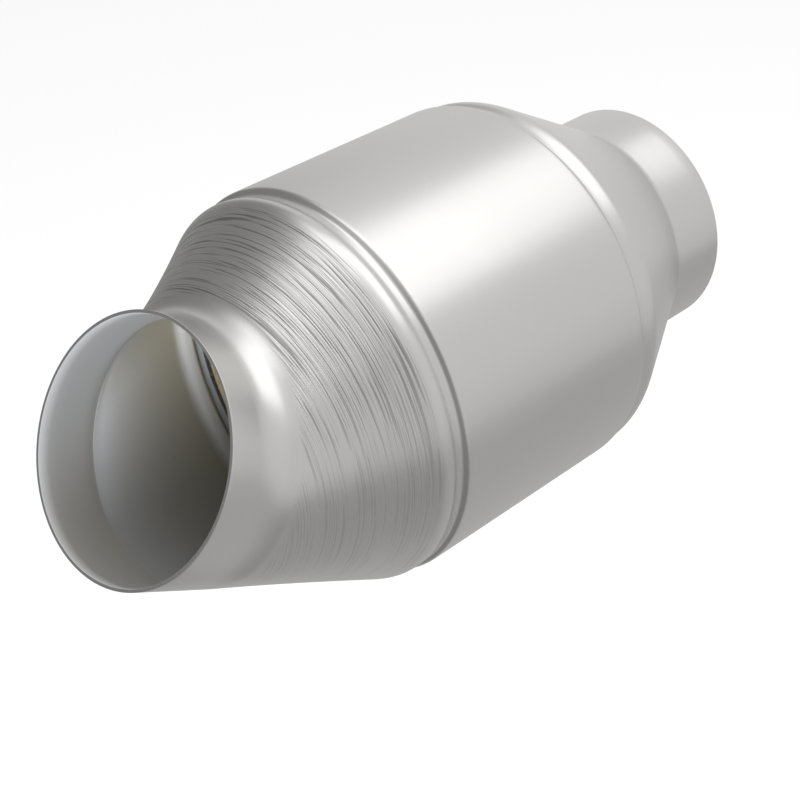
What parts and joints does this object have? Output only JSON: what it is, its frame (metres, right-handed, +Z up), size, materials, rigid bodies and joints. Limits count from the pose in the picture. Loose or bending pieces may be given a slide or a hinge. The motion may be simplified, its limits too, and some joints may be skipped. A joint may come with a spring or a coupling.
{
  "type": "catalytic converter",
  "caption": "Catalytic converter: round spun steel shell with rolled grooves, straight outlet neck, inlet neck tilted up, ceramic honeycomb inside.",
  "frame": {"origin": "centre of the outlet's mouth", "axes": "+X along the body's axis out of the outlet, +Z up, so that the inlet neck at -X tilts up towards its mouth; Y=0 is the mirror plane"},
  "size_m": [0.2398, 0.127, 0.127],
  "materials": {
    "shell_steel": "spun, bright satin",
    "ceramic": "matt tan ceramic",
    "mat_fibre": "pressed fibre",
    "knitted_wire": "knitted wire, pressed"
  },
  "bodies": {
    "root": {"shell": "shell_steel", "honeycomb": "ceramic", "mat": "mat_fibre", "inlet_end_ring": "knitted_wire", "outlet_end_ring": "knitted_wire"}
  },
  "joints": []
}
